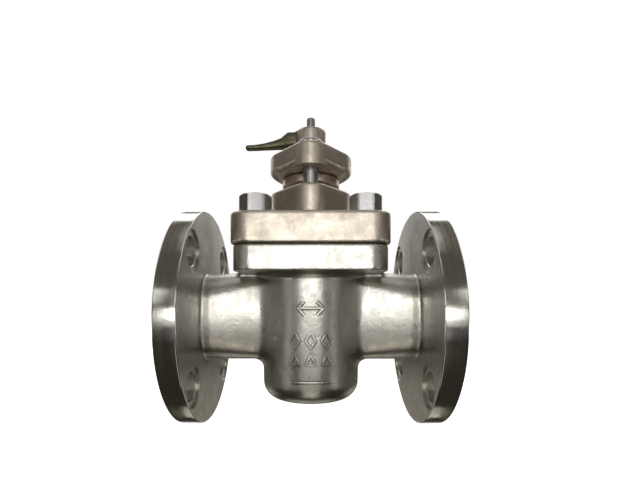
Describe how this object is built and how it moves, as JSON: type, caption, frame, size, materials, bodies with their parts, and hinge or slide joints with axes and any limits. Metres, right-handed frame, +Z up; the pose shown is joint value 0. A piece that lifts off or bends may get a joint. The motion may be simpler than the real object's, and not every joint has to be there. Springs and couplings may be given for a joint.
{
  "type": "flanged plug valve",
  "caption": "Straight-through plug valve with round pipe flanges, a square bolted bonnet, a two-bolt packing gland and a short lever on its stem.",
  "frame": {"origin": "on the stem axis, at the height of the lowest point of the two end flanges", "axes": "+X along the pipe towards the outlet flange, +Z up the stem, +Y towards the back; the pipe axis is at z = 0.075"},
  "size_m": [0.178, 0.15, 0.2199],
  "materials": {
    "cast_body": "blasted and pickled cast stainless steel, satin",
    "cast_bonnet": "blasted cast stainless steel, satin",
    "machined_steel": "turned stainless steel, bright",
    "bolt_steel": "stainless fastener, bright",
    "lever_casting": "dark cast stainless steel, satin",
    "ptfe": "white PTFE",
    "graphite": "moulded graphite"
  },
  "bodies": {
    "valve": {"valve_body": "cast_body", "plug_sleeve": "ptfe", "thrust_collar": "machined_steel", "top_diaphragm": "ptfe", "bonnet_gasket": "graphite", "bonnet": "cast_bonnet", "bonnet_bolt_1": "bolt_steel", "bonnet_bolt_2": "bolt_steel", "bonnet_bolt_3": "bolt_steel", "bonnet_bolt_4": "bolt_steel", "packing_base_ring": "machined_steel", "packing_ring_1": "graphite", "packing_ring_2": "graphite", "packing_ring_3": "graphite"},
    "gland": {"gland_bush": "machined_steel", "gland_flange": "cast_bonnet", "gland_bolt_front": "bolt_steel", "gland_bolt_back": "bolt_steel", "gland_washer_front": "machined_steel", "gland_washer_back": "machined_steel", "stop_pin_open": "bolt_steel", "stop_pin_closed": "bolt_steel"},
    "rotor": {"plug": "machined_steel", "lever": "lever_casting", "lever_stud": "bolt_steel", "lever_washer": "machined_steel", "lever_nut": "bolt_steel"}
  },
  "joints": [
    {"name": "plug_turn", "type": "hinge", "parent": "valve", "child": "rotor", "pos_m": [0, 0, 0.075], "axis": [0, 0, 1], "range_deg": [-90, 0]},
    {"name": "gland_takeup", "type": "slide", "parent": "valve", "child": "gland", "axis": [0, 0, -1], "range_m": [0, 0.002], "deforming": ["packing_ring_1", "packing_ring_2", "packing_ring_3"]}
  ]
}
